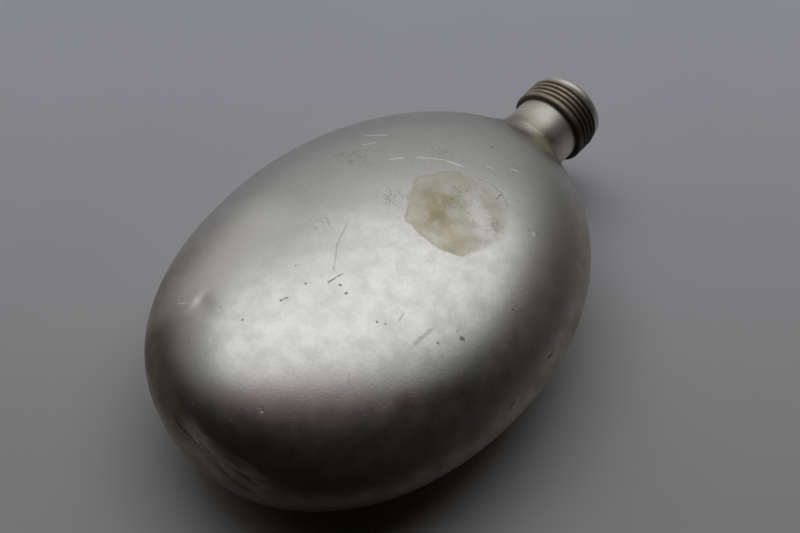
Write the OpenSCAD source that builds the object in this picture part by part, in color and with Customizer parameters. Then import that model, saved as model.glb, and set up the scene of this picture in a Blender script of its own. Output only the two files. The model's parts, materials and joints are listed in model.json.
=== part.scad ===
// Oval aluminium flask with a short round neck, lying on its back.
// The neck axis points along +Y, the domed front faces up, and the flat back is on z = 0.
// Millimetres.

/* [Body] */
// Width of the body at its widest line
body_w = 140; // [120:1:160]
// Length from the widest line to the base
base_len = 92; // [84:0.5:98]
// Length from the widest line to where the shoulder curve would close
shoulder_len = 92.5; // [86:0.5:98]
// Height of the domed front above the neck axis
front_h = 32; // [27:0.5:36]
// Depth of the domed back below the neck axis, before it is pressed flat
back_h = 33; // [28:0.5:37]
// How far the middle of the back is pressed in to a flat
back_press = 1.5; // [0.5:0.1:2.5]
// How far the tip of the base is pressed in to a flat
base_press = 0.6; // [0.3:0.1:1.2]
// Thickness of the drawn sheet
wall = 1.2; // [1:0.1:1.8]

/* [Fullness: 2 is an ellipse, more is squarer] */
// Outline from the widest line to the base
base_outline = 2.2; // [2:0.05:2.6]
// Outline from the widest line to the shoulder
shoulder_outline = 1.92; // [1.8:0.02:2.1]
// Side profile from the widest line to the base
base_profile = 3.1; // [2.2:0.1:3.6]
// Side profile from the widest line to the shoulder
shoulder_profile = 2.3; // [2:0.05:2.6]
// Cross-section of the body
section_fullness = 2.08; // [2:0.02:2.4]

/* [Neck] */
// Outer diameter of the neck
neck_od = 27.2; // [24:0.2:29]
// Radius of the fillet between shoulder and neck
neck_fillet = 6; // [4:0.5:8]
// Distance from the widest line to the back of the screw ring
ring_at = 104.3; // [101:0.1:108]

/* [Lip] */
// Outer diameter of the rolled lip
lip_od = 29.8; // [29:0.2:31]
// Radius of the roll
lip_roll = 2.5; // [2.3:0.1:2.8]
// Rounding of the inner edge of the mouth
mouth_round = 0.8; // [0.4:0.1:1]

/* [Screw ring] */
// Outer diameter over the thread crests
thread_od = 31.6; // [31:0.1:33]
// Length of the ring
ring_len = 10.7; // [10:0.1:12]
// Plain band behind the first groove, up to the middle of that groove
ring_band = 3.3; // [3:0.1:4]
// Distance from groove to groove
thread_pitch = 2.2; // [2:0.1:2.3]
// Number of grooves
thread_turns = 4; // [3:1:4]
// Depth of each groove
thread_depth = 0.8; // [0.5:0.1:1]
// Radius of each rounded groove
groove_r = 0.9; // [0.7:0.05:1]
// Chamfer on the ring's two outer edges
ring_chamfer = 0.5; // [0.2:0.1:0.8]
// Radial gap between the ring and the neck
ring_gap = 0.05; // [0.02:0.01:0.1]

/* [Hidden] */

neck_r = neck_od / 2;
bore_r = neck_r - wall;
roll_r = lip_od / 2 - lip_roll;
roll_at = ring_at + ring_len + lip_roll;
// The mouth's rounding touches the roll from inside, at the radius touch_r
mouth_round_r = bore_r + mouth_round;
mouth_round_at = roll_at + sqrt(pow(lip_roll - mouth_round, 2) - pow(mouth_round_r - roll_r, 2));
mouth_at = mouth_round_at + mouth_round;
touch_r = roll_r + lip_roll * (mouth_round_r - roll_r) / (lip_roll - mouth_round);
base_at = -(base_len - base_press);
table_z = -(back_h - back_press);
mid_y = (mouth_at + base_at) / 2;

// Points round each oval ring of the skins, and rings below and above the widest line
OUTER_MESH = [64, 16, 22];
INNER_MESH = [40, 11, 15];
// Angle at which the last ring below the widest line stands, short of the pole at 90
POLE_ANGLE = 86;
// The skins end in a flat this much wider than the round neck that carries on from it
NECK_STEP = 0.03;
NECK_OVERLAP = 2;
BISECTIONS = 40;
SLOPE_STEP = 0.001;
FN_ROUND = 96;
LARGE = 400;

// A curve that falls from 1 at t = 0 to 0 at t = 1, with the given fullness
function fall(t, fullness) = pow(max(0, 1 - pow(t, fullness)), 1 / fullness);

// The body's curve along y, for a skin drawn in by the amount inset.
// high is its value at the widest line, and the two numbers are its fullness each way.
function lengthwise(high, inset, to_base, to_shoulder) =
    function (y) (high - inset) * (y < 0
        ? fall(-y / (base_len - inset), to_base)
        : fall(y / (shoulder_len - inset), to_shoulder));

function slope(curve, y) =
    (curve(y + SLOPE_STEP) - curve(y - SLOPE_STEP)) / (2 * SLOPE_STEP);

// How high above the neck axis a fillet's centre stands when the fillet touches the curve at y
function centre_height(curve, radius, y) =
    curve(y) + radius / sqrt(1 + pow(slope(curve, y), 2));

// Station where a fillet of this radius leaves the falling curve and runs out level at height level
function fillet_start(curve, level, radius, low, high, steps = BISECTIONS) =
    let (middle = (low + high) / 2)
    steps == 0 ? middle
    : centre_height(curve, radius, middle) > level + radius
        ? fillet_start(curve, level, radius, middle, high, steps - 1)
        : fillet_start(curve, level, radius, low, middle, steps - 1);

function fillet_end(curve, radius, start) =
    let (s = slope(curve, start)) start - s * radius / sqrt(1 + s * s);

// The curve, then the fillet as an arc, then the level line of the neck
function necked(curve, level, radius) =
    let (start = fillet_start(curve, level, radius, 0, shoulder_len - 2 * wall))
    let (end = fillet_end(curve, radius, start))
    function (y) y < start ? curve(y)
        : y > end ? level
        : level + radius - sqrt(pow(radius, 2) - pow(end - y, 2));

// One ring of points: an oval of half width w, height up above the axis and depth down below it
function oval(w, up, down, y, count, fullness) =
    [for (i = [0 : count - 1])
        let (c = cos(360 * i / count), s = sin(360 * i / count))
        [w * sign(c) * pow(abs(c), 2 / fullness),
         y,
         (s > 0 ? up : down) * sign(s) * pow(abs(s), 2 / fullness)]];

// Triangles over rings of equal count, closed by a flat at each end
function skin_faces(rings, count) = concat(
    [[for (i = [count - 1 : -1 : 0]) i]],
    [for (j = [0 : rings - 2], i = [0 : count - 1])
        let (a = j * count + i, b = j * count + (i + 1) % count)
        each [[a, b, a + count], [b, b + count, a + count]]],
    [[for (i = [0 : count - 1]) (rings - 1) * count + i]]);

// The egg-shaped body as a closed skin, drawn in by inset, that ends in a round neck of radius end_r
module skin(inset, end_r, mesh) {
    count = mesh[0];
    level = end_r + NECK_STEP;
    radius = neck_fillet + inset;
    width_at = necked(lengthwise(body_w / 2, inset, base_outline, shoulder_outline), level, radius);
    front_at = necked(lengthwise(front_h, inset, base_profile, shoulder_profile), level, radius);
    back_at = necked(lengthwise(back_h, inset, base_profile, shoulder_profile), level, radius);
    below = [for (j = [mesh[1] : -1 : 0])
        -(base_len - inset) * pow(sin(POLE_ANGLE * j / mesh[1]), 2 / base_outline)];
    above = [for (j = [1 : mesh[2]])
        shoulder_len * pow(sin(90 * j / mesh[2]), 2 / shoulder_outline)];
    stations = concat(below, above);
    round_up = 1 / cos(180 / count);
    rings = [for (y = stations)
        let (share = max(0, y / shoulder_len))
        let (grow = 1 + (round_up - 1) * share)
        oval(width_at(y) * grow, front_at(y) * grow, back_at(y) * grow, y, count,
             section_fullness + (2 - section_fullness) * share)];
    polyhedron([for (ring = rings) each ring], skin_faces(len(rings), count), convexity = 4);
}

// Everything above the flat back and in front of the flat base, each moved inwards by inset
module pressed_flats(inset) {
    intersection() {
        children();
        translate([-LARGE / 2, base_at + inset, table_z + inset]) cube(LARGE);
    }
}

// A profile of radius and height, spun round the neck axis
module spun() {
    rotate([-90, 0, 0]) rotate_extrude($fn = FN_ROUND) children();
}

// Solid neck with the roll at its end
module neck_profile() {
    start = shoulder_len - NECK_OVERLAP;
    translate([0, start]) square([neck_r, roll_at - start]);
    intersection() {
        translate([roll_r, roll_at]) circle(lip_roll, $fn = FN_ROUND);
        translate([0, roll_at - lip_roll]) square([lip_od, 2 * lip_roll]);
    }
}

// The bore, which opens out over the rounded inner edge of the mouth
module bore_profile() {
    start = shoulder_len - NECK_OVERLAP;
    translate([0, start]) square([bore_r, mouth_at + mouth_round - start]);
    difference() {
        translate([0, mouth_round_at]) square([touch_r, 2 * mouth_round]);
        translate([mouth_round_r, mouth_round_at]) circle(mouth_round, $fn = FN_ROUND);
    }
}

// One drawn piece: body, shoulder, neck and the lip that is rolled out over the screw ring
module flask_body() {
    color([0.74, 0.74, 0.72])
    difference() {
        union() {
            pressed_flats(0) skin(0, neck_r, OUTER_MESH);
            spun() neck_profile();
        }
        pressed_flats(wall) skin(wall, bore_r, INNER_MESH);
        spun() bore_profile();
    }
}

// Separate ring with rounded thread grooves, held between the neck and the rolled lip
module thread_ring() {
    inner = neck_r + ring_gap;
    outer = thread_od / 2;
    color([0.36, 0.31, 0.25])
    spun() translate([0, ring_at]) difference() {
        polygon([
            [inner, 0],
            [outer - ring_chamfer, 0],
            [outer, ring_chamfer],
            [outer, ring_len - ring_chamfer],
            [outer - ring_chamfer, ring_len],
            [inner, ring_len]
        ]);
        for (i = [0 : thread_turns - 1])
            translate([outer - thread_depth + groove_r, ring_band + i * thread_pitch])
                circle(groove_r, $fn = FN_ROUND);
    }
}

module placed() {
    translate([0, -mid_y, -table_z]) children();
}

placed() flask_body();
placed() thread_ring();
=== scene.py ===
"""Oval aluminium flask with a short round neck and a screw ring, lying on its back in a plain studio.

Lengths are in metres, in the flask's own frame: +Y runs out of the mouth, +Z out of the domed front,
and the flask lies on z = 0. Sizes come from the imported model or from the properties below.
"""
import json
from collections import namedtuple
from functools import reduce
from math import asin, cos, hypot, pi, radians, sin

import bpy
import numpy as np
from bpy.props import FloatProperty, FloatVectorProperty, PointerProperty
from bpy.types import Operator, Panel, PropertyGroup
from mathutils import Matrix, Vector


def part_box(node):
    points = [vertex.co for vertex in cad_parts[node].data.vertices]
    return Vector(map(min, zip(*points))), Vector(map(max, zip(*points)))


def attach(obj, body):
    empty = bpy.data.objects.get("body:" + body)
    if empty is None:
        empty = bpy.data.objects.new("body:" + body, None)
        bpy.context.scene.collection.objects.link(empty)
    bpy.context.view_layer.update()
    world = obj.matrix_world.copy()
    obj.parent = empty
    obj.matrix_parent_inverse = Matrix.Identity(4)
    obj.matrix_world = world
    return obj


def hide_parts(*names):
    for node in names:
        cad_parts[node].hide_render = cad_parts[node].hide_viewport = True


bl_info = {
    "name": "Oval aluminium flask",
    "version": (1, 0, 0),
    "blender": (4, 5, 0),
    "location": "View3D > Sidebar > Flask",
    "description": "Makes a worn oval aluminium flask with a screw ring, and a plain studio round it",
    "category": "Add Mesh",
}

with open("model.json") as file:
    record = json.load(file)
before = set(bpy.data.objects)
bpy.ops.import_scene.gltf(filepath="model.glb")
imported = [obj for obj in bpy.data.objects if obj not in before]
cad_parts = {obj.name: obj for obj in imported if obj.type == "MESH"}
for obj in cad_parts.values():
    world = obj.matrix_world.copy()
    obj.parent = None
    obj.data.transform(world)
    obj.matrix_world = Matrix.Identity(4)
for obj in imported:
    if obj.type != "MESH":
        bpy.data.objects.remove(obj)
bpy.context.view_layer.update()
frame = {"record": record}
BODY_LOW, BODY_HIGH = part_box("flask_body")
RING_LOW, RING_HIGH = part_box("thread_ring")
MOUNTS = {mount["name"]: mount for mount in frame["record"]["mounts"]}
AXIS_Z = MOUNTS["mouth_bore"]["pos_m"][2]
BORE_RADIUS = MOUNTS["mouth_bore"]["dims"]["r_mm"] / 1000
CREST_RADIUS = MOUNTS["thread_crests"]["dims"]["r_mm"] / 1000

MM = 0.001


def millimetres(*values):
    """A vector given in millimetres, in metres."""
    return np.array(values, float) * MM


# ------ Properties


def real(name, description, default, **settings):
    return FloatProperty(name=name, description=description, default=default, **settings)


def length(name, description, size):
    """A length property, whose default is given in millimetres."""
    return real(name, description, size * MM, unit="LENGTH", subtype="DISTANCE", precision=5)


def number(name, description, default, high=10.0):
    return real(name, description, default, min=0.0, max=high)


def angle(name, description, degrees):
    return real(name, description, radians(degrees), unit="ROTATION", subtype="ANGLE")


def colour(name, description, default):
    settings = {"subtype": "COLOR", "size": 3, "min": 0.0, "max": 1.0}
    return FloatVectorProperty(name=name, description=description, default=default, **settings)


class FlaskShape(PropertyGroup):
    """Sizes of the drawn shell, its neck and its rolled lip."""

    base_length: length("Base length", "From the widest line to the tip of the base", 92)
    base_press: length("Base press", "How far the tip of the base is pressed flat", 0.6)
    shoulder_length: length("Shoulder length", "From the widest line to the end of the shoulder", 92.5)
    back_depth: length("Back depth", "Depth of the domed back before it is pressed flat", 33)
    wall: length("Wall", "Thickness of the sheet", 1.2)
    fillet: length("Neck fillet", "Radius between the shoulder and the neck", 6)
    lip_radius: length("Lip radius", "Outer radius of the rolled lip", 14.9)
    lip_roll: length("Lip roll", "Radius of the roll itself", 2.5)
    mouth_rounding: length("Mouth rounding", "Rounding of the inner edge of the mouth", 0.8)
    base_outline: number("Base outline", "Fullness of the outline towards the base", 2.2)
    shoulder_outline: number("Shoulder outline", "Fullness of the outline towards the neck", 1.92)
    base_profile: number("Base profile", "Fullness of the side profile towards the base", 3.1)
    shoulder_profile: number("Shoulder profile", "Fullness of the side profile towards the neck", 2.3)
    section: number("Section", "Fullness of the cross-section", 2.08)


class FlaskThread(PropertyGroup):
    """Sizes of the screw ring's thread."""

    pitch: length("Pitch", "Distance from groove to groove", 2.2)
    depth: length("Depth", "Depth of the groove", 0.8)
    plain_band: length("Plain band", "From the rear of the ring to the first groove", 3.3)
    edge: length("Edge rounding", "Rounding of the ring's front edge", 0.5)
    rear_edge: length("Rear edge rounding", "Rounding of the ring's rear edge", 1.3)
    turns: number("Turns", "Turns of the groove", 3.6)


class FlaskFinish(PropertyGroup):
    """Colours and surface of the metal and of what has stained it, and tints that paint shade on it."""

    clean_metal: colour("Clean metal", "Bare rubbed aluminium", (0.68, 0.675, 0.665))
    dull_metal: colour("Dull metal", "Oxidised aluminium", (0.62, 0.615, 0.60))
    dark_metal: colour("Scratched metal", "Aluminium in scratches and pits", (0.24, 0.23, 0.21))
    # Tarnish, which is also laid as painted shade low on the side away from the light
    tarnish: colour("Tarnish", "Dull olive tarnish on the sides", (0.41, 0.375, 0.31))
    # Painted shade: a warm tint on the side of the metal away from the light
    browned: colour("Browned", "Tint of the metal towards the base", (1.0, 0.87, 0.82))
    grime: colour("Grime", "Dirt in the corner at the foot of the neck", (0.40, 0.39, 0.20))
    glue: colour("Glue", "Tint of the dried glue on the front", (0.90, 0.87, 0.73))
    glue_brown: colour("Browned glue", "Tint of the dark spot in the dried glue", (0.78, 0.67, 0.51))
    ring_dark: colour("Ring tarnish", "Tarnish in the thread's grooves", (0.13, 0.105, 0.08))
    ring_rubbed: colour("Rubbed ring", "Rubbed crests of the thread", (0.56, 0.485, 0.37))
    roughness: number("Roughness", "Roughness of the satin metal", 0.365, high=1.0)
    dents: number("Dents", "How deep the dents are, where 1 is as made", 1.0, high=2.0)


class FlaskStudio(PropertyGroup):
    """Floor, soft light and surroundings."""

    floor: colour("Floor", "Colour of the floor on the light's side", (0.75, 0.765, 0.865))
    # Painted shade: the floor darkens towards this colour away from the light
    floor_away: colour("Floor away", "Colour of the floor away from the light", (0.56, 0.55, 0.545))
    key_strength: number("Key strength", "Power of the large soft light in watts", 4.8, high=1000.0)
    key_width: length("Key width", "Width of the soft light", 1800)
    key_height: length("Key height", "Height of the soft light", 840)
    key_distance: length("Key distance", "Distance of the soft light from the flask", 1300)
    key_turn: angle("Key turn", "Direction of the soft light, from +Y towards +X", -35.5)
    key_rise: angle("Key rise", "Height of the soft light above the horizon", 67.5)
    halo: number("Halo", "Brightness of the surroundings close round the soft light", 0.14)
    sky: number("Sky", "Brightness of the surroundings on the light's side", 0.25)
    gloom: number("Gloom", "Brightness of the surroundings on the camera's side", 0.003)


# ------ Meshes


def make_piece(name, vertices, faces, material):
    """A smooth-shaded object at the origin from one array of vertices and a list of arrays of faces."""
    corners = np.concatenate([part.ravel() for part in faces])
    sizes = np.concatenate([np.full(len(part), part.shape[1]) for part in faces])
    mesh = bpy.data.meshes.new(name)
    mesh.vertices.add(len(vertices))
    mesh.vertices.foreach_set("co", vertices.astype(np.float32).ravel())
    mesh.loops.add(len(corners))
    mesh.loops.foreach_set("vertex_index", corners.astype(np.int32))
    mesh.polygons.add(len(sizes))
    mesh.polygons.foreach_set("loop_start", (np.cumsum(sizes) - sizes).astype(np.int32))
    mesh.polygons.foreach_set("use_smooth", np.ones(len(sizes), bool))
    mesh.update(calc_edges=True)
    mesh.validate()
    mesh.materials.append(material)
    piece = bpy.data.objects.new(name, mesh)
    bpy.context.scene.collection.objects.link(piece)
    return piece


def band_faces(rows, count, around):
    """Quads between rows of points that run round the piece. With around, the last row meets the first.

    Rows that run towards +Y, with points that turn from +X to +Z, give faces that point outwards.
    """
    row = np.arange(rows if around else rows - 1)[:, None]
    column = np.arange(count)[None, :]
    next_row = (row + 1) % rows
    next_column = (column + 1) % count
    places = ((row, column), (next_row, column), (next_row, next_column), (row, next_column))
    return np.stack([a * count + b for a, b in places], axis=-1).reshape(-1, 4)


def pole_faces(row_start, count, pole, turned):
    """A fan of triangles from one row of points to a single point."""
    here = row_start + np.arange(count)
    after = row_start + (np.arange(count) + 1) % count
    ends = (after, here) if turned else (here, after)
    return np.stack([*ends, np.full(count, pole)], axis=-1)


def fall(share, fullness):
    """A curve from 1 at share 0 to 0 at share 1: (1 - share^p)^(1/p). Fullness p = 2 is an ellipse."""
    return np.maximum(0.0, 1.0 - np.clip(share, 0.0, 1.0) ** fullness) ** (1.0 / fullness)


def lengthwise(shape, height, inset, to_base, to_shoulder):
    """The shell's curve along y, highest at the widest line, for a skin drawn in by inset."""

    def curve(y):
        below = fall(-y / (shape.base_length - inset), to_base)
        above = fall(y / (shape.shoulder_length - inset), to_shoulder)
        return (height - inset) * np.where(y < 0, below, above)

    return curve


def necked(shape, curve, level, radius):
    """The falling curve, then an arc that touches it and the level line of the neck, then that line.

    The place where the arc starts is found by halving: its centre stands at curve + radius * cos(slope
    angle), and it has to be one radius above the level line.
    """
    step = 1e-6
    low, high = 0.0, shape.shoulder_length - 2 * shape.wall
    for _ in range(40):
        start = (low + high) / 2
        slope = (curve(np.array(start + step)) - curve(np.array(start - step))) / (2 * step)
        if curve(np.array(start)) + radius / hypot(1, slope) > level + radius:
            low = start
        else:
            high = start
    end = start - slope * radius / hypot(1, slope)

    def whole(y):
        arc = level + radius - np.sqrt(np.maximum(0.0, radius**2 - (end - y) ** 2))
        return np.where(y < start, curve(y), np.where(y > end, level, arc))

    return whole


def skin_rows(shape, inset, neck_radius, below, above):
    """Half width, height, depth, y and fullness of each ring of the shell, from the base to the neck.

    The rings' places along y follow sin(angle)^(2/p), which sets them close where the curves are steep.
    """
    front_height = BODY_HIGH.z - AXIS_Z
    half_width = BODY_HIGH.x
    fillet = shape.fillet + inset
    curves = [
        necked(shape, lengthwise(shape, height, inset, *fullness), neck_radius, fillet)
        for height, *fullness in (
            (half_width, shape.base_outline, shape.shoulder_outline),
            (front_height, shape.base_profile, shape.shoulder_profile),
            (shape.back_depth, shape.base_profile, shape.shoulder_profile),
        )
    ]
    down = np.linspace(1.0, 0.0, below, endpoint=False)
    up = np.linspace(0.0, 1.0, above)
    base = -(shape.base_length - inset) * np.sin(down * pi / 2) ** (2 / shape.base_outline)
    neck = shape.shoulder_length * np.sin(up * pi / 2) ** (2 / shape.shoulder_outline)
    y = np.concatenate([base, neck])
    share = np.maximum(0.0, y / shape.shoulder_length)
    fullness = shape.section + (2 - shape.section) * share
    return np.stack([*(curve(y) for curve in curves), y, fullness], axis=-1)


def round_rows(radii, y):
    """The same kind of rows for a round stretch, such as the neck, the lip and the bore."""
    radii, y = np.broadcast_arrays(np.asarray(radii, float), np.asarray(y, float))
    return np.stack([radii, radii, radii, y, np.full(len(y), 2.0)], axis=-1)


def arc_rows(radius_at, y_at, radius, first, last, count):
    """Rows along an arc round the point (radius_at, y_at), from the angle first to the angle last."""
    turn = np.linspace(first, last, count)
    return round_rows(radius_at + radius * np.cos(turn), y_at + radius * np.sin(turn))


def ovals(rows, count):
    """Points of each row's oval, for c and s the cosine and sine of the turn round it.

    x is w c |c|^(2/n - 1) and z is h s |s|^(2/n - 1), where h is the depth below the axis.
    """
    turn = np.linspace(0, 2 * pi, count, endpoint=False)
    c, s = np.cos(turn)[None, :], np.sin(turn)[None, :]
    width, high, deep, y, fullness = (rows[:, k][:, None] for k in range(5))
    x = width * np.sign(c) * np.abs(c) ** (2 / fullness)
    z = np.where(s > 0, high, deep) * np.sign(s) * np.abs(s) ** (2 / fullness)
    return np.stack([x, np.broadcast_to(y, x.shape), z], axis=-1)


def kept_above(values, level, softness):
    """Values pushed up to a level with a soft corner: level + s ln(1 + exp((value - level) / s))."""
    return level + softness * np.logaddexp(0.0, (values - level) / softness)


# ------ Dents

Dent = namedtuple("Dent", "place facing along length width sharp depth")
Flat = namedtuple("Flat", "facing depth")
DENT_REACH = 12 * MM
FLAT_SOFTNESS = 0.12 * MM
PRESS_SOFTNESS = 0.3 * MM
# Long waves of the sheet: direction, and spacing and height in millimetres
WAVES = (
    ((0.9, 0.4, 0.2), 31, 0.030),
    ((-0.5, 0.8, 0.3), 23, 0.022),
    ((0.3, -0.7, 0.6), 15, 0.010),
)
# The waves are full from this distance from the neck axis
WAVES_FULL_FROM = 20 * MM
# The sheet is dented and wavy up to this far behind the middle of the bore, and the neck is true
TRUE_NECK = 15 * MM

# Places in millimetres in the flask's frame. sharp is the width on the side towards facing x along.
DENTS = (
    # Hollow beside the crease on the left of the front, and a shallow pressed place beyond it
    Dent((-33.5, -70, 56.5), (-0.33, -0.20, 0.92), (0.15, 1, 0.1), 3.6, 6.5, 1.5, 0.6),
    Dent((-21, -68, 60), (-0.17, -0.15, 0.97), (1, 0.4, 0), 9.0, 6.0, 6.0, 0.16),
    # Row of knocks along the left of the base
    Dent((-7, -104, 40), (-0.1, -0.95, 0.3), (1, 0, -0.15), 5.0, 3.0, 2.0, 0.45),
    Dent((5, -105, 37), (0.05, -0.98, 0.2), (1, 0, -0.2), 5.0, 2.6, 1.8, 0.45),
    Dent((16, -104, 33), (0.2, -0.97, 0.1), (1, 0.1, -0.25), 5.0, 2.4, 1.8, 0.4),
    # Smaller knocks below them
    Dent((-11, -105.2, 33), (-0.15, -0.97, -0.1), (1, -0.1, -0.3), 3.5, 2.0, 1.2, 0.35),
    Dent((9.5, -105.4, 33.5), (0.1, -0.98, -0.1), (1, 0.1, -0.5), 3.0, 2.0, 1.2, 0.4),
    Dent((17, -104, 30.5), (0.2, -0.97, -0.15), (1, 0.2, -0.4), 3.5, 2.0, 1.2, 0.4),
    # Knocks along the right edge
    Dent((64, -46, 40), (0.85, -0.2, 0.5), (0.2, 1, -0.1), 5.0, 4.0, 2.0, 0.35),
    Dent((69, -14, 35), (0.98, 0, 0.2), (0, 1, 0), 6.0, 3.0, 2.0, 0.3),
    Dent((66, 8, 38), (0.88, 0.2, 0.4), (-0.2, 1, 0), 7.0, 3.0, 2.0, 0.25),
)
# Flattened places: the surface is pressed to a plane that faces this way
FLATS = (
    Flat((-0.2, -0.87, -0.43), 0.7 * MM),
    Flat((0.1, -0.93, -0.35), 0.5 * MM),
    Flat((-0.45, -0.85, -0.25), 0.5 * MM),
)


def unit(vector):
    vector = np.asarray(vector, float)
    return vector / np.linalg.norm(vector)


def dented(points, amount):
    """Points moved inwards by depth * exp(-(u/length)^2 - (v/width)^2 - (w/reach)^2) for each dent.

    u runs along the dent, v across it and w out of the surface, from the dent's place.
    """
    moved = points.copy()
    for dent in DENTS:
        facing = unit(dent.facing)
        along = np.array(dent.along, float)
        along = unit(along - facing * (along @ facing))
        across = np.cross(facing, along)
        offset = points - millimetres(*dent.place)
        u, v, w = offset @ along, offset @ across, offset @ facing
        width = np.where(v > 0, dent.sharp, dent.width) * MM
        share = np.exp(-((u / (dent.length * MM)) ** 2) - (v / width) ** 2 - (w / DENT_REACH) ** 2)
        moved -= facing * (amount * dent.depth * MM * share)[..., None]
    return moved


def flattened(points, levels, inset):
    """Points pressed back to a plane across each facing, with a soft corner."""
    moved = points
    for flat, level in zip(FLATS, levels):
        facing = unit(flat.facing)
        reach = moved @ facing
        pressed = -kept_above(-reach, -(level - inset), FLAT_SOFTNESS)
        moved = moved + facing * (pressed - reach)[..., None]
    return moved


def wavy(points):
    """A drawn sheet is never quite even: three long waves of up to a few hundredths of a millimetre."""
    push = np.zeros(points.shape[:-1])
    for direction, spacing, height in WAVES:
        push += height * MM * (1 + np.sin(points @ unit(direction) * 2 * pi / (spacing * MM)))
    outwards = points - np.array([0, 0, AXIS_Z])
    outwards[..., 1] = 0
    distance = np.linalg.norm(outwards, axis=-1, keepdims=True)
    share = np.minimum(1, distance / WAVES_FULL_FROM)
    return points - outwards / np.maximum(distance, MM) * push[..., None] * share


# ------ Node trees


class Wiring:
    """Adds nodes to a tree. A value may be a number, a colour or another node's socket."""

    MEASURES = {"DOT_PRODUCT", "LENGTH", "DISTANCE"}

    def __init__(self, tree):
        self.tree = tree

    def feed(self, socket, value):
        if isinstance(value, bpy.types.NodeSocket):
            self.tree.links.new(value, socket)
        elif socket.type == "RGBA":
            socket.default_value = (*value, 1.0)
        else:
            socket.default_value = value

    def node(self, kind, inputs=(), **settings):
        made = self.tree.nodes.new("ShaderNode" + kind)
        for name, value in settings.items():
            setattr(made, name, value)
        for socket, value in dict(inputs).items():
            self.feed(made.inputs[socket], value)
        return made

    def math(self, operation, *values, clamp=False):
        made = self.node("Math", dict(enumerate(values)), operation=operation, use_clamp=clamp)
        return made.outputs[0]

    def times(self, first, second):
        return self.math("MULTIPLY", first, second)

    def most(self, first, second):
        return self.math("MAXIMUM", first, second)

    def rest(self, mask):
        """What a mask leaves over: 1 - mask."""
        return self.math("SUBTRACT", 1.0, mask)

    def vector(self, operation, *values):
        made = self.node("VectorMath", dict(enumerate(values)), operation=operation)
        return made.outputs["Value" if operation in self.MEASURES else "Vector"]

    def scaled(self, vector, factor):
        inputs = {0: vector, "Scale": factor}
        return self.node("VectorMath", inputs, operation="SCALE").outputs["Vector"]

    def blend(self, factor, first, second, kind="MIX"):
        made = self.node("Mix", {0: factor, 6: first, 7: second}, data_type="RGBA", blend_type=kind)
        return made.outputs[2]

    def between(self, factor, first, second):
        return self.node("Mix", {0: factor, 2: first, 3: second}, data_type="FLOAT").outputs[0]

    def ramp(self, value, low, high, first=0.0, last=1.0):
        inputs = {"Value": value, "From Min": low, "From Max": high, "To Min": first, "To Max": last}
        return self.node("MapRange", inputs, interpolation_type="SMOOTHSTEP").outputs["Result"]

    def noise(self, vector, size, detail=2.0, roughness=0.5):
        inputs = {"Vector": vector, "Scale": 1 / size, "Detail": detail, "Roughness": roughness}
        return self.node("TexNoise", inputs).outputs["Fac"]

    def swing(self, vector, size, detail, amount):
        """Noise that swings round zero by an amount each way, at most half of it."""
        noise = self.noise(vector, size, detail)
        return self.times(self.math("SUBTRACT", noise, 0.5), amount)

    def along(self, vector, direction):
        """How far a vector reaches in a direction: their dot product."""
        return self.vector("DOT_PRODUCT", vector, direction)

    def paint(self, colour, mask, over, share=None, kind="MIX"):
        """The colour with another laid over it by a mask, or by a share of the mask."""
        return self.blend(mask if share is None else self.times(mask, share), colour, over, kind)

    def tint(self, colour, mask, over, share=None):
        """The colour multiplied by another by a mask, or by a share of the mask."""
        return self.paint(colour, mask, over, share, kind="MULTIPLY")

    def plus(self, value, layers):
        """The value and each mask times its amount, added up."""
        for mask, amount in layers:
            value = self.math("ADD", value, self.times(mask, amount))
        return value

    def place(self):
        return self.node("TexCoord").outputs["Object"]

    def parts(self, vector):
        return self.node("SeparateXYZ", {"Vector": vector}).outputs

    def mask(self, tree, **inputs):
        """Places a node group, with its inputs given by name, and gives its mask."""
        made = self.tree.nodes.new("ShaderNodeGroup")
        made.node_tree = tree
        for name, value in inputs.items():
            self.feed(made.inputs[name], value)
        return made.outputs["Mask"]


def make_group(name, wire, **defaults):
    """A shader group, built once, that makes a mask from a vector and other inputs with defaults.

    wire takes the wiring and the inputs and gives the mask's socket.
    """
    if name in bpy.data.node_groups:
        return bpy.data.node_groups[name]
    tree = bpy.data.node_groups.new(name, "ShaderNodeTree")
    new_socket = tree.interface.new_socket
    new_socket(name="Vector", in_out="INPUT", socket_type="NodeSocketVector")
    for label, default in defaults.items():
        kind = "Vector" if isinstance(default, tuple) else "Float"
        new_socket(name=label, in_out="INPUT", socket_type="NodeSocket" + kind).default_value = default
    new_socket(name="Mask", in_out="OUTPUT", socket_type="NodeSocketFloat")
    given = tree.nodes.new("NodeGroupInput").outputs
    taken = tree.nodes.new("NodeGroupOutput").inputs
    tree.links.new(wire(Wiring(tree), given), taken["Mask"])
    return tree


def clouds_group():
    """Soft uneven patches: noise of a given size, stretched between two limits."""

    def wire(w, given):
        inputs = {"Vector": given["Vector"], "Detail": given["Detail"], "Roughness": 0.6}
        inputs["Scale"] = w.math("DIVIDE", 1.0, given["Size"])
        noise = w.node("TexNoise", inputs).outputs["Fac"]
        return w.ramp(noise, given["Low"], given["High"])

    return make_group("Uneven patches", wire, Size=0.02, Detail=3.0, Low=0.35, High=0.65)


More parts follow.
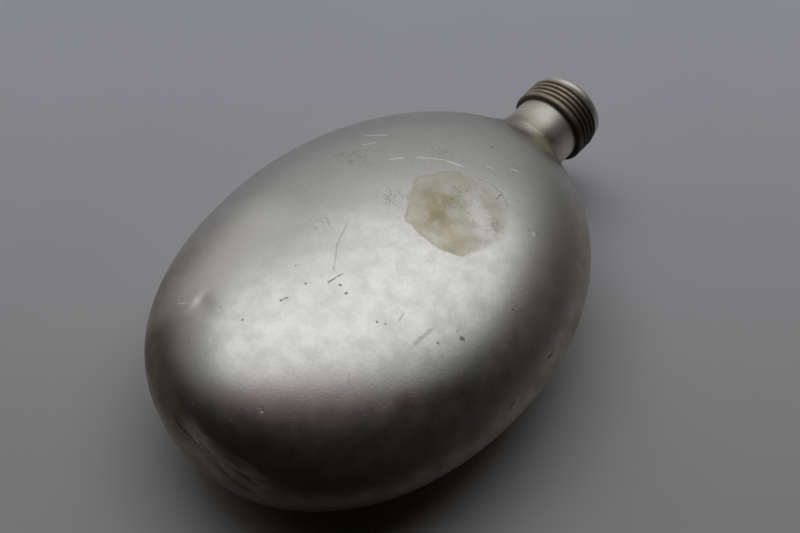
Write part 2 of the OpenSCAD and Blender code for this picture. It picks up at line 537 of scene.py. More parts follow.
def hairlines_group():
    """Fine scratches in one direction: noise drawn out along it, kept only where it is highest."""

    def wire(w, given):
        turning = {"Vector": given["Vector"], "Angle": given["Turn"]}
        turned = w.node("VectorRotate", turning, rotation_type="Z_AXIS").outputs["Vector"]
        along = w.math("DIVIDE", 1.0, given["Length"])
        across = w.math("DIVIDE", 1.0, given["Width"])
        stretch = w.node("CombineXYZ", {"X": along, "Y": across, "Z": across}).outputs["Vector"]
        drawn = w.vector("MULTIPLY", turned, stretch)
        noise = w.node("TexNoise", {"Vector": drawn, "Scale": 1.0, "Detail": 1.0}).outputs["Fac"]
        limit = w.math("SUBTRACT", 0.82, w.times(given["Amount"], 0.25))
        return w.ramp(noise, limit, w.math("ADD", limit, 0.06))

    return make_group("Hairlines", wire, Turn=0.0, Length=0.02, Width=0.0004, Amount=0.5)


def pits_group():
    """Small round pits or specks in some of the cells of a Voronoi pattern."""

    def wire(w, given):
        inputs = {"Vector": given["Vector"], "Scale": w.math("DIVIDE", 1.0, given["Spacing"])}
        cells = w.node("TexVoronoi", {**inputs, "Randomness": 1.0})
        channels = w.node("SeparateColor", {"Color": cells.outputs["Color"]}).outputs
        size = w.times(given["Size"], w.ramp(channels["Green"], 0.0, 1.0, 0.4, 1.0))
        inner = w.times(size, 0.5)
        round_spot = w.rest(w.ramp(cells.outputs["Distance"], inner, size))
        chosen = w.math("LESS_THAN", channels["Red"], given["Amount"])
        return w.times(round_spot, chosen)

    return make_group("Pits", wire, Spacing=0.004, Size=0.15, Amount=0.3)


def mark_group():
    """One scratch: the distance from the straight line between two points, with a ragged edge."""

    def wire(w, given):
        run = w.vector("SUBTRACT", given["End"], given["Start"])
        offset = w.vector("SUBTRACT", given["Vector"], given["Start"])
        dots = [w.along(first, run) for first in (offset, run)]
        share = w.math("DIVIDE", *dots, clamp=True)
        gap = w.vector("SUBTRACT", offset, w.scaled(run, share))
        distance = w.vector("LENGTH", gap)
        ragged = w.times(given["Ragged"], given["Width"])
        width = w.math("ADD", given["Width"], ragged)
        inner = w.times(width, given["Flat"])
        return w.rest(w.ramp(distance, inner, width))

    ends = {"Start": (0, 0, 0), "End": (0, 0, 0)}
    return make_group("Scratch", wire, **ends, Width=0.0005, Flat=0.3, Ragged=0.0)


def spot_group():
    """One spot: an oval round a point, with a ragged edge."""

    def wire(w, given):
        offset = w.vector("SUBTRACT", given["Vector"], given["Centre"])
        share = w.vector("LENGTH", w.vector("DIVIDE", offset, given["Reach"]))
        share = w.math("ADD", share, given["Ragged"])
        inner = w.rest(given["Softness"])
        return w.rest(w.ramp(share, inner, 1.0))

    sizes = {"Centre": (0, 0, 0), "Reach": (0.002, 0.002, 0.02)}
    return make_group("Spot", wire, **sizes, Softness=0.4, Ragged=0.0)


# ------ Marks, in millimetres: a scratch's two ends and width, and a spot's centre and reach

Scratch = namedtuple("Scratch", "start end width")
Spot = namedtuple("Spot", "centre reach")


def spots(depth, *rows):
    """Spots from rows of x, y, z, half width and half length, all with the same half depth."""
    return tuple(Spot(row[:3], (*row[3:], depth)) for row in rows)


def front_lines(width, *lines):
    """Scratches along lines of points on the front, for which only x and y count."""
    return tuple(
        Scratch((*start, 0), (*end, 0), width) for line in lines for start, end in zip(line, line[1:])
    )


# Dark and light lines on the front
DARK_SCRATCHES = front_lines(
    0.4,
    ((-0.9, -39.8), (0.6, -33.6)),
    ((-8.7, -55.2), (-7.5, -52.9)),
    ((19.4, 28.9), (19.3, 32.1)),
)
LIGHT_SCRATCHES = front_lines(
    0.4,
    ((-21.1, 18.5), (-17.9, 22.4)),
    ((-14, 25.6), (-8.7, 29.3), (-5.4, 31), (1.5, 32.8)),
    ((7.6, 39.4), (9, 40.2)),
    ((13.7, 45.6), (16.4, 46.5)),
    ((-39.4, 25.3), (-31.4, 30)),
    ((-35.5, 19.5), (-32, 23.5)),
    ((-40.4, -73.3), (-36.5, -71.8)),
)
# Thin grey lines on the front, of three widths
FAINT_SCRATCHES = (
    *front_lines(0.4, ((26.6, -61.6), (29, -64.4))),
    *front_lines(0.5, ((-39.6, 9), (-38.6, 13)), ((-34.9, 12), (-34.2, 16.5))),
    *front_lines(
        0.4,
        ((-20, -18), (-17, -20)),
        ((-12.7, -15.6), (-11, -20), (-9, -25.5), (-2.5, -34.6)),
        ((8.9, 31.7), (14.1, 33), (19.3, 32.4), (24, 29.5)),
        ((26.9, -35.7), (26.4, -32.1)),
    ),
    *front_lines(1.1, ((36.1, -38.3), (36.7, -30.8))),
)
# Short dark nicks along the right edge
SIDE_SCRATCHES = (
    Scratch((56.1, -54.7, 47.5), (56.5, -52.4, 47.8), 0.8),
    Scratch((68.6, -27.2, 37.3), (68.6, -24.2, 37.9), 0.8),
    Scratch((67.4, -3.3, 39.7), (67.5, -0.5, 38.9), 0.8),
)
# Sharp folds in the sheet, along the base and on the right edge
CREASES = (
    Scratch((-13, -103.5, 42), (-8, -104.5, 40.5), 0.9),
    Scratch((-1, -105, 42), (4, -105.5, 40), 0.9),
    Scratch((6, -105.6, 36), (10, -105.4, 33), 0.9),
    Scratch((13, -105, 32), (19, -103.6, 29.5), 0.9),
    Scratch((66.5, 1, 40.5), (67.2, -3, 39.6), 0.6),
    Scratch((67.8, 6, 37.5), (68.3, 1, 36.5), 0.5),
)
# Places where the sheet is beaten uneven
BEATEN_PLACES = spots(
    10,
    (-6, -103, 40, 17, 9),
    (14, -103, 36, 19, 9),
)
# Dark pits and specks that can be seen one by one
DARK_SPOTS = (
    *spots(
        3,
        (-6.5, -44.9, 63, 0.6, 0.6),
        (3.2, -38, 63, 0.8, 0.6),
        (6.9, -39.3, 63, 0.6, 0.6),
        (-14.5, -40.8, 63, 0.35, 0.35),
        (22, -41.1, 62, 0.7, 0.6),
        (24.4, -39.9, 61, 0.5, 0.4),
        (41.2, -32.8, 57, 0.6, 0.5),
        (45.9, -25.2, 56, 1.2, 0.9),
        (43.2, -24.3, 57, 0.4, 0.4),
        (51, -3, 54, 0.6, 0.6),
        (-14.2, -68.5, 60, 0.5, 0.5),
        (-24.6, -68.4, 59, 0.4, 0.4),
        (2, 50, 56, 0.6, 0.6),
        (4, 57, 54, 0.5, 0.5),
        (12.3, -88.6, 55.7, 0.6, 0.5),
    ),
    *spots(1.4, (63, -58, 33, 0.8, 0.8)),
    *spots(0.7, (10, -105, 39, 0.7, 2)),
    *spots(0.6, (-1, -105, 37, 0.6, 2)),
)
# Where the front is peppered with small black dots
PEPPERED_PLACES = (
    *spots(
        10,
        (-9, 3.5, 62, 8, 8),
        (6, 24, 61, 6, 3),
        (29, 18, 59, 3, 4),
        (7, 15, 62, 6, 5),
    ),
    *spots(6, (37, 28, 56, 3, 3)),
    *spots(10, (16, 21.3, 61, 5, 2.5)),
)
# Where short dark scribbles run across the metal
SCUFFED_PLACES = (
    *spots(
        10,
        (-32, 12, 59, 11, 5),
        (-9, 4, 62, 7, 8),
        (-20, -22, 62, 7, 4),
        (-9, 33, 60, 6, 5),
        (8, 23, 61, 5, 5),
        (27, 18, 59, 4, 6),
        (10, 15, 62, 6, 5),
        (16, 22, 61, 4, 3),
    ),
    *spots(6, (37, 28, 56, 3, 3)),
)
# Chips down to bright metal
LIGHT_SPOTS = spots(
    3,
    (37.5, 27, 55.5, 0.9, 0.9),
    (13, -89.5, 55.4, 0.6, 0.45),
)
# Where the dull metal is speckled with small bright chips
SPECKLED_PLACES = (
    *spots(5, (-12, -100, 48, 14, 6)),
    *spots(4, (4, -96, 53, 14, 6)),
    *spots(5, (33, -84, 51, 16, 12)),
)

# Over the board, from the light's side to the other one
AWAY_FROM_LIGHT = (0.62, -0.78, 0)
# Where a finish or a painted shade fades in, from and to in metres: along y, over the height, and away
# from the light
NECK_FADE = (0.074, 0.082)
FOOT_SHADE_FADES = ((0.060, 0.072), (0.084, 0.077))
GRIME_FADES = ((0.056, 0.068), (0.080, 0.070))
WEAR_FADE = (0.086, 0.092)
FRONT_FADE = (0.034, 0.040)
LOW_FADE = (0.055, 0.042)
TARNISH_AND_SHADE_LOW_FADE = (0.052, 0.036)
TARNISH_AND_SHADE_AWAY_FADE = (-0.014, 0.018)
TARNISH_AND_SHADE_RIGHT_FADE = (0.041, 0.065)
WARM_SHADE_FADE = (0.062, 0.078)
RING_SHADE_FADE = (-0.021, -0.007)
BOARD_SHADE_FADE = (-0.25, 0.15)
DARK_ROOM_FADE = (0.06, 0.16)
# Which way the painted shade on the ring lies, and the right edge with its tarnish and painted shade
RING_SHADE_SIDE = (0.85, 0, -0.53)
RIGHT_EDGE = (0.95, 0.30, 0)
# Places on the sides and at the neck's foot: a band of painted highlight, a darkened band, the thickest
# grime and a brown smear
HIGHLIGHT_BAND = Scratch((-40, -66, 56), (-42, -30, 58), 19)
DARKENED_LEFT_BAND = Scratch((-38, -88, 43), (-15, -102, 44), 14)
NECK_GRIME = Spot((10, 71, 44), (8, 8, 10))
BROWN_SMEAR = Scratch((46, -55, 53), (57, -38, 50), 7)

GLUE_CENTRE = millimetres(13, 14, 0)
# The glue's outline as straight edges: which way each faces, in degrees from +X to +Y, and how far out
# it stands, in millimetres
GLUE_EDGES = (
    (208, 17.6), (146, 19.1), (110, 18.5), (73, 19.4), (42, 19.5),
    (355, 19.3), (337, 19.1), (292, 19.6), (264, 17.6),
)
GLUE_ROUNDING = 2.5 * MM
# Darker places in the glue, and a streak that is rubbed bare
BROWN_GLUE = Scratch((5.5, 9.5, 0), (8, 6.5, 0), 6.0)
OLIVE_GLUE = (
    Scratch((1.5, 14.5, 0), (9, 15.5, 0), 6.0),
    Scratch((11, 7, 0), (21, 3, 0), 7.0),
)
BARE_STREAK = Scratch((13, 23, 0), (27, 13, 0), 5.5)

# How long the sway of the single marks is, and how far it reaches
SWAY_SIZE = 1.6 * MM
SWAY = 1.1 * MM

# Colours that belong to one place only
NECK_METAL = (0.84, 0.83, 0.80)
NECK_FLECKS = (0.62, 0.57, 0.44)
NECK_FOOT_SHADE = (0.62, 0.61, 0.56)
LOW_SIDES = (0.96, 0.94, 0.87)
HIGHLIGHT_METAL = (0.92, 0.91, 0.89)
LEFT_BAND_DARKENING = (0.47, 0.46, 0.42)
SMEAR_TINT = (0.55, 0.46, 0.38)
OLIVE_TINT = (0.78, 0.77, 0.66)
BRIGHT_METAL = (0.93, 0.93, 0.90)
RING_SHADE_COLOUR = (0.03, 0.025, 0.02)
DARK_ROOM = (0.01, 0.009, 0.008)
BLACK = (0, 0, 0)


def strongest(w, place, marks, **settings):
    """The strongest of several scratches or spots at each point. Settings go to their group."""

    def mask(mark):
        tree = mark_group() if isinstance(mark, Scratch) else spot_group()
        sizes = {name.title(): np.multiply(value, MM) for name, value in mark._asdict().items()}
        return w.mask(tree, Vector=place, **sizes, **settings)

    return reduce(w.most, map(mask, marks))


def uneven_patches(w, place, size, detail, low, high):
    """Soft patches of a size in millimetres."""
    return w.mask(clouds_group(), Vector=place, Size=size * MM, Detail=detail, Low=low, High=high)


def small_pits(w, place, spacing, size, amount):
    """Pits with a spacing in millimetres, and with their size as a share of it."""
    return w.mask(pits_group(), Vector=place, Spacing=spacing * MM, Size=size, Amount=amount)


# ------ Materials


def new_material(name):
    """An empty material with its output and a Principled shader, and the wiring for it."""
    material = bpy.data.materials.new(name)
    material.use_nodes = True
    material.node_tree.nodes.clear()
    w = Wiring(material.node_tree)
    shader = w.node("BsdfPrincipled")
    output = w.node("OutputMaterial")
    w.tree.links.new(shader.outputs["BSDF"], output.inputs["Surface"])
    return material, w, shader


def aluminium(finish):
    """Worn satin aluminium: patches, hairlines, pits, single marks, tarnish, glue and grime, with
    painted shade and a painted highlight in the colour.
    """
    material, w, shader = new_material("Worn aluminium")
    dull, clean, dark = finish.dull_metal, finish.clean_metal, finish.dark_metal
    place = w.place()
    parts = w.parts(place)
    along, height = parts["Y"], parts["Z"]
    patches = uneven_patches(w, place, 7, 5.0, 0.30, 0.70)
    broad = uneven_patches(w, place, 38, 2.0, 0.35, 0.70)
    fine = uneven_patches(w, place, 1.1, 3.0, 0.30, 0.75)
    ragged = w.math("SUBTRACT", w.noise(place, 0.7 * MM, 3.0), 0.5)
    hairs = hair_scratches(w, place)
    pits = small_pits(w, place, 5.5, 0.09, 0.35)
    neck = w.ramp(along, *NECK_FADE)

    colour = w.blend(patches, dull, clean)
    colour = w.paint(colour, broad, dull, 0.2)
    colour = w.paint(colour, fine, dark, 0.12)
    colour = w.paint(colour, hairs, clean, 0.4)
    # Painted shade: the foot of the neck, where it meets the shoulder, is darkened
    foot = w.times(*(w.ramp(along, *fade) for fade in FOOT_SHADE_FADES))
    colour = w.paint(colour, neck, NECK_METAL, 0.6)
    flecks = w.times(neck, w.ramp(ragged, 0.02, 0.12, 0.0, 0.55))
    colour = w.paint(colour, flecks, NECK_FLECKS)
    colour = w.tint(colour, foot, NECK_FOOT_SHADE)
    # Painted shade: a warm tint over the side away from the light
    warm_shade_side = w.ramp(w.along(place, AWAY_FROM_LIGHT), *WARM_SHADE_FADE)
    colour = w.tint(colour, warm_shade_side, finish.browned)
    uneven = w.noise(w.vector("MULTIPLY", place, (0.35, 0.7, 1.0)), 3.2 * MM, 1.0)
    beaten = w.times(strongest(w, place, BEATEN_PLACES, Softness=0.8), uneven)
    # Tarnish and painted shade: olive and darker low on the sides away from the light and along the
    # right edge
    tarnish = tarnish_and_shade_mask(w, place, height, patches)
    # The beaten places are rubbed clear of tarnish in streaks; the lighter streaks also stand in as a
    # painted highlight on facets that catch the light
    rubbed = w.times(w.ramp(beaten, 0.46, 0.58), 0.6)
    tarnish = w.times(tarnish, w.rest(rubbed))
    colour = w.paint(colour, tarnish, finish.tarnish)
    # Darker and warmer towards the bottom
    low = w.ramp(height, *LOW_FADE)
    colour = w.tint(colour, low, LOW_SIDES, 0.8)
    # Painted highlight: a broad band on the left side is made lighter
    bright = strongest(w, place, [HIGHLIGHT_BAND], Flat=0.0)
    colour = w.paint(colour, bright, HIGHLIGHT_METAL, 0.6)
    # A band low on the left side, darkened
    shaded = strongest(w, place, [DARKENED_LEFT_BAND])
    colour = w.tint(colour, shaded, LEFT_BAND_DARKENING)
    smear = strongest(w, place, [BROWN_SMEAR], Flat=0.0)
    colour = w.tint(colour, smear, SMEAR_TINT, 0.6)

    glue, rim, brown, olive = glue_masks(w, place, height)
    colour = w.tint(colour, glue, finish.glue)
    colour = w.tint(colour, rim, finish.glue, 0.35)
    colour = w.tint(colour, brown, finish.glue_brown)
    colour = w.tint(colour, olive, OLIVE_TINT)
    grime = grime_mask(w, place)
    colour = w.paint(colour, grime, finish.grime, 0.6)

    light, worn = mark_masks(w, place, height, ragged, pits)
    wear_line = w.times(w.ramp(along, *WEAR_FADE), w.ramp(fine, 0.75, 0.9))
    light = w.most(light, w.times(wear_line, 0.8))
    colour = w.paint(colour, light, BRIGHT_METAL, 0.85)
    colour = w.paint(colour, worn, dark)
    w.feed(shader.inputs["Base Color"], colour)

    roughness = w.between(patches, finish.roughness + 0.03, finish.roughness - 0.03)
    rougher = ((hairs, -0.06), (glue, 0.10), (grime, 0.2), (tarnish, 0.12), (neck, 0.11), (worn, 0.2))
    w.feed(shader.inputs["Roughness"], w.plus(roughness, (*rougher, (light, 0.22))))
    less_metal = ((glue, -0.25), (grime, -0.5), (tarnish, -0.28), (neck, -0.15))
    w.feed(shader.inputs["Metallic"], w.plus(1.0, less_metal))

    folds = strongest(w, place, CREASES, Flat=0.0)
    heights = ((fine, 0.007), (hairs, -0.008), (pits, -0.03), (folds, -0.2), (beaten, -1.2))
    bump = w.node("Bump", {"Height": w.plus(0.0, heights), "Strength": 1.0, "Distance": MM})
    w.feed(shader.inputs["Normal"], bump.outputs["Normal"])
    return material


def hair_scratches(w, place):
    """Fine scratches in three directions: turn in degrees, length and width in millimetres, amount."""
    masks = []
    for turn, run, width, amount in ((20, 9, 0.35, 0.55), (-38, 7, 0.30, 0.50), (75, 12, 0.40, 0.45)):
        sizes = {"Turn": radians(turn), "Length": run * MM, "Width": width * MM, "Amount": amount}
        masks.append(w.mask(hairlines_group(), Vector=place, **sizes))
    return reduce(w.most, masks)


def tarnish_and_shade_mask(w, place, height, patches):
    """Tarnish and painted shade, low on the sides away from the light and over the whole right edge."""
    sideways = w.math("MINIMUM", w.along(place, (0.35, 0, 0)), 0.0)
    low = w.ramp(w.math("ADD", height, sideways), *TARNISH_AND_SHADE_LOW_FADE)
    away = w.ramp(w.along(place, AWAY_FROM_LIGHT), *TARNISH_AND_SHADE_AWAY_FADE)
    right = w.ramp(w.along(place, RIGHT_EDGE), *TARNISH_AND_SHADE_RIGHT_FADE)
    mask = w.most(w.times(low, away), w.times(right, 0.85))
    return w.times(mask, w.between(patches, 1.0, 0.65))


def grime_mask(w, place):
    """Yellowish dirt at the foot of the neck, thickest on the right."""
    noise = w.noise(place, 4 * MM, 3.0)
    ragged = w.times(w.math("SUBTRACT", noise, 0.5), 1.4)
    thick = strongest(w, place, [NECK_GRIME], Softness=0.8, Ragged=ragged)
    along = w.parts(place)["Y"]
    foot = w.times(*(w.ramp(along, *fade) for fade in GRIME_FADES))
    return w.most(thick, w.times(foot, w.ramp(noise, 0.45, 0.65, 0.0, 0.45)))


def mark_masks(w, place, height, ragged, pits):
    """The light marks, and the dark ones with their pits and scribbled scuffs.

    The place is swayed a little by noise first, so that no scratch is ruler-straight.
    """
    noise = {"Vector": place, "Scale": 1 / SWAY_SIZE, "Detail": 2.0}
    sway = w.vector("SUBTRACT", w.node("TexNoise", noise).outputs["Color"], (0.5, 0.5, 0.5))
    place = w.vector("ADD", place, w.scaled(sway, SWAY))
    flat = w.vector("MULTIPLY", place, (1, 1, 0))
    front = w.ramp(height, *FRONT_FADE)
    light = w.times(strongest(w, flat, LIGHT_SCRATCHES, Ragged=ragged), front)
    light = w.most(light, strongest(w, place, LIGHT_SPOTS, Ragged=ragged))
    chips = small_pits(w, place, 2.4, 0.17, 0.5)
    chips = w.times(chips, strongest(w, place, SPECKLED_PLACES, Softness=0.7))
    light = w.most(light, w.times(chips, 0.7))
    contour = w.math("ABSOLUTE", w.math("SUBTRACT", w.noise(place, 2.2 * MM, 3.0, 0.6), 0.5))
    scribble = w.ramp(contour, 0.022, 0.006)
    broken = w.ramp(w.noise(w.vector("ADD", place, (1, 1, 1)), 1.8 * MM, 2.0), 0.43, 0.50)
    scuffed = strongest(w, place, SCUFFED_PLACES, Softness=0.6, Ragged=ragged)
    scuffs = w.times(scuffed, w.times(scribble, broken))
    dark = w.times(strongest(w, flat, DARK_SCRATCHES, Ragged=ragged), front)
    dark = w.most(dark, strongest(w, place, SIDE_SCRATCHES, Ragged=ragged))
    dark = w.most(dark, strongest(w, place, DARK_SPOTS, Ragged=ragged))
    dark = w.times(dark, w.ramp(ragged, -0.15, 0.0, 0.45, 1.0))
    pepper = small_pits(w, place, 1.2, 0.28, 0.75)
    pepper = w.times(pepper, strongest(w, place, PEPPERED_PLACES, Softness=0.8))
    faint = w.times(strongest(w, flat, FAINT_SCRATCHES, Ragged=ragged), front)
    layers = ((pits, 0.6), (scuffs, 0.85), (dark, 0.85), (pepper, 0.9), (faint, 0.3))
    return light, reduce(w.most, [w.times(mask, amount) for mask, amount in layers])


def glue_masks(w, place, height):
    """The dried glue's uneven body, its rim, its brown spot and its olive middle, on the front only."""
    flat = w.vector("MULTIPLY", place, (1, 1, 0))
    offset = w.vector("SUBTRACT", flat, GLUE_CENTRE)
    outside = None
    for turn, distance in GLUE_EDGES:
        facing = (cos(radians(turn)), sin(radians(turn)), 0)
        beyond = w.math("SUBTRACT", w.along(offset, facing), distance * MM)
        outside = beyond if outside is None else w.math("SMOOTH_MAX", outside, beyond, GLUE_ROUNDING)
    uneven = w.swing(place, 5 * MM, 4.0, 4 * MM)
    outside = w.math("ADD", outside, uneven)
    faded = w.ramp(w.along(offset, (0.75, 0.66, 0)), -2 * MM, 14 * MM)
    inner = w.between(faded, -0.5 * MM, -6 * MM)
    body = w.times(w.ramp(outside, 0.3 * MM, inner), w.ramp(height, *FRONT_FADE))
    rim = w.times(w.ramp(outside, -2.2 * MM, -0.6 * MM), body)
    mottled = uneven_patches(w, place, 5, 5.0, 0.30, 0.66)
    blotchy = w.swing(place, 3.5 * MM, 4.0, 3.0)
    streak = strongest(w, flat, [BARE_STREAK], Flat=0.1, Ragged=blotchy)
    patchy = w.between(mottled, 0.55, 1.0)
    thick = w.times(patchy, w.rest(w.times(streak, 0.85)))
    brown = strongest(w, flat, [BROWN_GLUE], Flat=0.0, Ragged=blotchy)
    brown = w.times(brown, w.between(mottled, 1.0, 0.6))
    olive = w.times(strongest(w, flat, OLIVE_GLUE, Flat=0.0, Ragged=blotchy), body)
    return w.times(body, thick), rim, w.times(brown, body), olive


def tarnished_ring(finish):
    """Dark brown tarnish in the grooves, rubbed lighter on the crests and on the plain band, with
    painted shade darkening the side towards +X and down.
    """
    material, w, shader = new_material("Tarnished ring")
    place = w.place()
    along = w.parts(place)["Y"]
    on_axis = w.node("CombineXYZ", {"X": 0.0, "Y": along, "Z": AXIS_Z}).outputs["Vector"]
    radius = w.vector("DISTANCE", place, on_axis)
    crest = w.ramp(radius, CREST_RADIUS - 0.9 * MM, CREST_RADIUS - 0.1 * MM)
    rear = w.ramp(along, RING_LOW.y + 3.4 * MM, RING_LOW.y + 1.8 * MM)
    rear = w.times(rear, w.ramp(along, RING_LOW.y + 0.3 * MM, RING_LOW.y + 0.9 * MM))
    crest = w.most(crest, w.times(rear, 0.8))
    patches = uneven_patches(w, place, 4, 4.0, 0.3, 0.7)
    rubbed = w.times(crest, w.between(patches, 0.6, 1.0))
    # Painted shade: the ring is darkened almost to black on the side towards +X and down
    ring_shade = w.ramp(w.along(place, RING_SHADE_SIDE), *RING_SHADE_FADE, 0.0, 0.9)
    colour = w.blend(rubbed, finish.ring_dark, finish.ring_rubbed)
    w.feed(shader.inputs["Base Color"], w.paint(colour, ring_shade, RING_SHADE_COLOUR))
    w.feed(shader.inputs["Roughness"], w.between(patches, 0.55, 0.45))
    shader.inputs["Metallic"].default_value = 0.7
    grain = w.noise(place, 0.35 * MM, 3.0)
    bump = w.node("Bump", {"Height": grain, "Strength": 0.4, "Distance": 0.05 * MM})
    w.feed(shader.inputs["Normal"], bump.outputs["Normal"])
    return material


def floor_material(studio):
    """Plain pale board, a little bluer on the light's side, and darker away from the light, which is
    painted shade.

    Only the camera sees it pale beyond the flask's base. In the metal that part of the room is dark.
    """
    material, w, shader = new_material("Pale board")
    place = w.place()
    away = w.along(place, AWAY_FROM_LIGHT)
    colour = w.blend(w.ramp(away, *BOARD_SHADE_FADE), studio.floor, studio.floor_away)
    patches = uneven_patches(w, place, 120, 3.0, 0.2, 0.8)
    colour = w.paint(colour, patches, BLACK, 0.05)
    unseen = w.rest(w.node("LightPath").outputs["Is Camera Ray"])
    dark = w.times(w.ramp(away, *DARK_ROOM_FADE), unseen)
    w.feed(shader.inputs["Base Color"], w.paint(colour, dark, DARK_ROOM))
    shader.inputs["Roughness"].default_value = 0.6
    shader.inputs["Specular IOR Level"].default_value = 0.3
    return material


# ------ Pieces


class FLASK_OT_add_body(Operator):
    """Add the drawn flask: shell, shoulder, neck, rolled lip and bore in one closed surface"""

    bl_idname = "flask.add_body"
    bl_label = "Add body"

    # Points round each row, and rows below and above the widest line on the outside and the inside
    COUNT = 320
    OUTER_ROWS = (84, 92)
    INNER_ROWS = (22, 30)

    def profile(self, shape):
        """All rows from the base over the shoulder, neck and lip, down the bore and back inside."""
        neck_radius = BORE_RADIUS + shape.wall
        widest_at = BODY_LOW.y + shape.base_length - shape.base_press
        mouth_at = BODY_HIGH.y - widest_at
        rounding_at = mouth_at - shape.mouth_rounding
        roll_radius = shape.lip_radius - shape.lip_roll
        rounding_radius = BORE_RADIUS + shape.mouth_rounding
        apart = shape.lip_roll - shape.mouth_rounding
        lean = asin((rounding_radius - roll_radius) / apart)
        touch = pi / 2 - lean
        roll_at = rounding_at - apart * np.cos(lean)
        roll_depth = np.sqrt(shape.lip_roll**2 - (neck_radius - roll_radius) ** 2)
        roll_start = -asin(roll_depth / shape.lip_roll)
        leaves_neck = roll_at + shape.lip_roll * np.sin(roll_start)

        outer = skin_rows(shape, 0.0, neck_radius, *self.OUTER_ROWS)
        neck = round_rows(neck_radius, np.linspace(shape.shoulder_length, leaves_neck, 14)[1:-1])
        lip = arc_rows(roll_radius, roll_at, shape.lip_roll, roll_start, touch, 18)
        edge = arc_rows(rounding_radius, rounding_at, shape.mouth_rounding, touch, pi, 10)[1:]
        bore = round_rows(BORE_RADIUS, np.linspace(rounding_at, shape.shoulder_length, 6)[1:-1])
        inner = skin_rows(shape, shape.wall, BORE_RADIUS, *self.INNER_ROWS)[::-1]
        rows = np.concatenate([outer, neck, lip, edge, bore, inner])
        return rows, len(rows) - len(inner) - len(bore), widest_at

    def execute(self, context):
        scene = context.scene
        shape, finish = scene.flask_shape, scene.flask_finish
        rows, outer_count, widest_at = self.profile(shape)
        points = ovals(rows, self.COUNT)
        points += (0, widest_at, AXIS_Z)
        inset = np.where(np.arange(len(rows)) < outer_count, 0.0, shape.wall)[:, None]
        outer = points[:outer_count]
        levels = [(outer @ unit(flat.facing)).max() - flat.depth * finish.dents for flat in FLATS]
        shell = points[..., 1] < MOUNTS["mouth_bore"]["pos_m"][1] - TRUE_NECK
        worked = dented(flattened(wavy(points), levels, inset), finish.dents)
        points = np.where(shell[..., None], worked, points)
        points[..., 2] = kept_above(points[..., 2], inset, PRESS_SOFTNESS)
        pressed = kept_above(points[..., 1], BODY_LOW.y + inset, PRESS_SOFTNESS)
        points[..., 1] = np.where(shell, pressed, points[..., 1])

        count = self.COUNT
        body_rows = points[1:-1]
        poles = np.stack([points[0].mean(axis=0), points[-1].mean(axis=0)])
        vertices = np.concatenate([body_rows.reshape(-1, 3), poles])
        last = (len(body_rows) - 1) * count
        faces = [
            band_faces(len(body_rows), count, around=False),
            pole_faces(0, count, len(vertices) - 2, turned=False),
            pole_faces(last, count, len(vertices) - 1, turned=True),
        ]
        body = make_piece("aluminium_flask", vertices, faces, aluminium(finish))
        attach(body, "root")
        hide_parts("flask_body")
        return {"FINISHED"}


class FLASK_OT_add_ring(Operator):
    """Add the screw ring with its helical thread"""

    bl_idname = "flask.add_ring"
    bl_label = "Add screw ring"

    # Points round each row, and rows along the thread and along the bore
    COUNT = 288
    ROWS = 130
    BORE_ROWS = 12
    NECK_GAP = 0.05 * MM
    # The groove fades in and out over this share of a turn
    RUN_OUT = 0.25

    def execute(self, context):
        scene = context.scene
        shape, thread = scene.flask_shape, scene.flask_thread
        rear, front = RING_LOW.y, RING_HIGH.y
        inner_radius = BORE_RADIUS + shape.wall + self.NECK_GAP
        turn = np.linspace(0, 2 * pi, self.COUNT, endpoint=False)[None, :]
        share = (1 - np.cos(np.linspace(0, pi, self.ROWS))) / 2
        y = (rear + (front - rear) * share)[:, None]

        # The groove is a raised cosine across and follows a right-handed helix, so its place along y
        # grows as the turn from +X to +Z goes down
        across = (y - rear - thread.plain_band) / thread.pitch + turn / (2 * pi)
        along = np.round(across) - turn / (2 * pi)
        begins = np.clip((along + 0.5) / self.RUN_OUT, 0, 1)
        run = begins * np.clip((thread.turns - 0.3 - along) / self.RUN_OUT, 0, 1)
        groove = (0.5 + 0.5 * np.cos(2 * pi * across)) ** 1.8 * run
        radius = CREST_RADIUS - thread.depth * groove
        for from_end, along, inwards in (
            (y - rear, thread.rear_edge, thread.rear_edge * 1.1),
            (front - y, thread.edge, thread.edge),
        ):
            share = np.clip(1 - from_end / along, 0, 1)
            radius = radius - inwards * (1 - np.sqrt(1 - share**2))
        x, z = radius * np.cos(turn), AXIS_Z + radius * np.sin(turn)
        outside = np.stack([x, np.broadcast_to(y, radius.shape), z], axis=-1)
        inside_rows = round_rows(inner_radius, np.linspace(front, rear, self.BORE_ROWS))
        inside = ovals(inside_rows, self.COUNT) + (0, 0, AXIS_Z)
        points = np.concatenate([outside, inside])
        faces = [band_faces(len(points), self.COUNT, around=True)]
        metal = tarnished_ring(scene.flask_finish)
        ring = make_piece("screw_ring", points.reshape(-1, 3), faces, metal)
        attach(ring, "root")
        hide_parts("thread_ring")
        return {"FINISHED"}


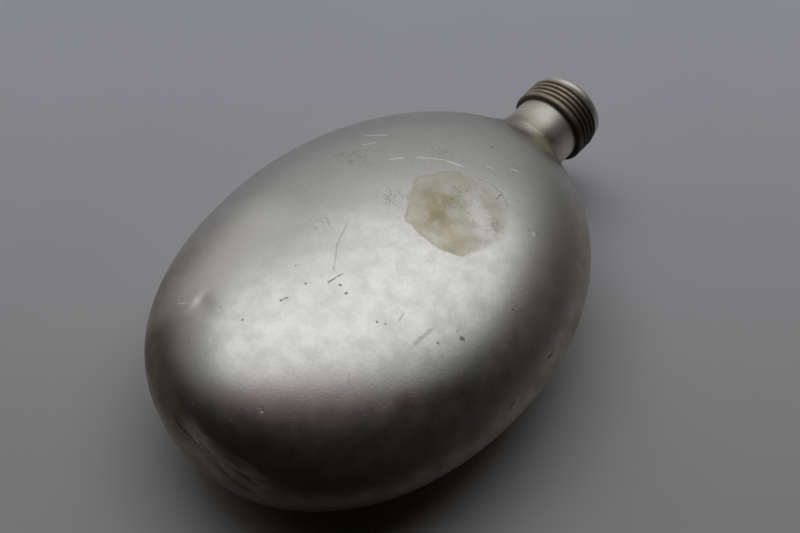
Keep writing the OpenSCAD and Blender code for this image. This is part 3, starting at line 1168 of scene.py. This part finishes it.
class FLASK_OT_add_stage(Operator):
    """Add the camera, the pale floor, the large soft light and the dim surroundings"""

    bl_idname = "flask.add_stage"
    bl_label = "Add stage"

    CAMERA_PLACE = (0.23096, -0.29302, 0.51400)
    CAMERA_TURN = radians(38.39)
    CAMERA_TILT = radians(37.80)
    CAMERA_ROLL = radians(0.69)
    CAMERA_LENS = 74.98
    FLOOR_HALF = 3.0
    BACKDROP = (0.125, 0.125, 0.125)
    DIM_LIGHT = (1.0, 0.78, 0.66)
    SKY_LIGHT = (1.0, 1.0, 0.985)
    # Brighter directions of the surroundings, and how near to them the brightness starts and is full
    SKY = ((-0.66, 0.55, 0.30), 0.15, 1.0)
    HALO = ((-0.52, 0.38, 0.76), 0.55, 0.93)

    def add_camera(self, scene):
        data = bpy.data.cameras.new("Camera")
        data.lens = self.CAMERA_LENS
        camera = bpy.data.objects.new("Camera", data)
        scene.collection.objects.link(camera)
        camera.matrix_world = (
            Matrix.Translation(self.CAMERA_PLACE)
            @ Matrix.Rotation(self.CAMERA_TURN, 4, "Z")
            @ Matrix.Rotation(self.CAMERA_TILT, 4, "X")
            @ Matrix.Rotation(self.CAMERA_ROLL, 4, "Z")
        )
        scene.camera = camera

    def add_light(self, scene, studio):
        data = bpy.data.lights.new("Soft light", "AREA")
        data.shape = "RECTANGLE"
        data.size, data.size_y = studio.key_width, studio.key_height
        data.energy = studio.key_strength
        light = bpy.data.objects.new("Soft light", data)
        scene.collection.objects.link(light)
        rise, turn = studio.key_rise, studio.key_turn
        towards = Vector((np.sin(turn) * np.cos(rise), np.cos(turn) * np.cos(rise), np.sin(rise)))
        light.location = towards * studio.key_distance
        light.rotation_mode = "QUATERNION"
        light.rotation_quaternion = towards.to_track_quat("Z", "Y")

    def add_surroundings(self, scene, studio):
        """A world that is brightest round the soft light, dim on its side and dark behind the camera.

        The camera itself sees a plain grey backdrop beyond the board.
        """
        world = bpy.data.worlds.new("Studio")
        world.use_nodes = True
        world.node_tree.nodes.clear()
        w = Wiring(world.node_tree)
        direction = w.node("TexCoord").outputs["Generated"]
        strength = studio.gloom
        for (towards, low, high), amount in ((self.SKY, studio.sky), (self.HALO, studio.halo)):
            share = w.along(direction, unit(towards))
            strength = w.math("ADD", strength, w.ramp(share, low, high, 0.0, amount))
        colour = w.blend(w.ramp(strength, studio.gloom, 0.1), self.DIM_LIGHT, self.SKY_LIGHT)
        seen = w.node("LightPath").outputs["Is Camera Ray"]
        colour = w.blend(seen, colour, self.BACKDROP)
        strength = w.between(seen, strength, 1.0)
        background = w.node("Background", {"Color": colour, "Strength": strength})
        output = w.node("OutputWorld")
        w.tree.links.new(background.outputs[0], output.inputs["Surface"])
        scene.world = world

    def execute(self, context):
        scene = context.scene
        studio = scene.flask_studio
        scene.view_settings.view_transform = "Standard"
        self.add_camera(scene)
        self.add_light(scene, studio)
        self.add_surroundings(scene, studio)
        corners = np.array([(-1, -1, 0), (1, -1, 0), (1, 1, 0), (-1, 1, 0)]) * self.FLOOR_HALF
        floor = make_piece("floor", corners, [np.array([[0, 1, 2, 3]])], floor_material(studio))
        return {"FINISHED"}


class FLASK_PT_panel(Panel):
    """Flask sizes, finish and studio"""

    bl_label = "Aluminium flask"
    bl_idname = "FLASK_PT_panel"
    bl_space_type = "VIEW_3D"
    bl_region_type = "UI"
    bl_category = "Flask"

    def draw(self, context):
        for operator in OPERATORS:
            self.layout.operator(operator.bl_idname)
        for name in SETTINGS:
            group = getattr(context.scene, name)
            box = self.layout.box()
            for prop in group.bl_rna.properties:
                if prop.identifier not in {"rna_type", "name"}:
                    box.prop(group, prop.identifier)


OPERATORS = (FLASK_OT_add_stage, FLASK_OT_add_body, FLASK_OT_add_ring)
SETTINGS = {
    "flask_shape": FlaskShape,
    "flask_thread": FlaskThread,
    "flask_finish": FlaskFinish,
    "flask_studio": FlaskStudio,
}
CLASSES = (*SETTINGS.values(), *OPERATORS, FLASK_PT_panel)


def register():
    for cls in CLASSES:
        bpy.utils.register_class(cls)
    for name, cls in SETTINGS.items():
        setattr(bpy.types.Scene, name, PointerProperty(type=cls))


def unregister():
    for name in SETTINGS:
        delattr(bpy.types.Scene, name)
    for cls in reversed(CLASSES):
        bpy.utils.unregister_class(cls)


def main():
    register()
    bpy.ops.flask.add_stage()
    bpy.ops.flask.add_body()
    bpy.ops.flask.add_ring()


if __name__ == "__main__":
    main()
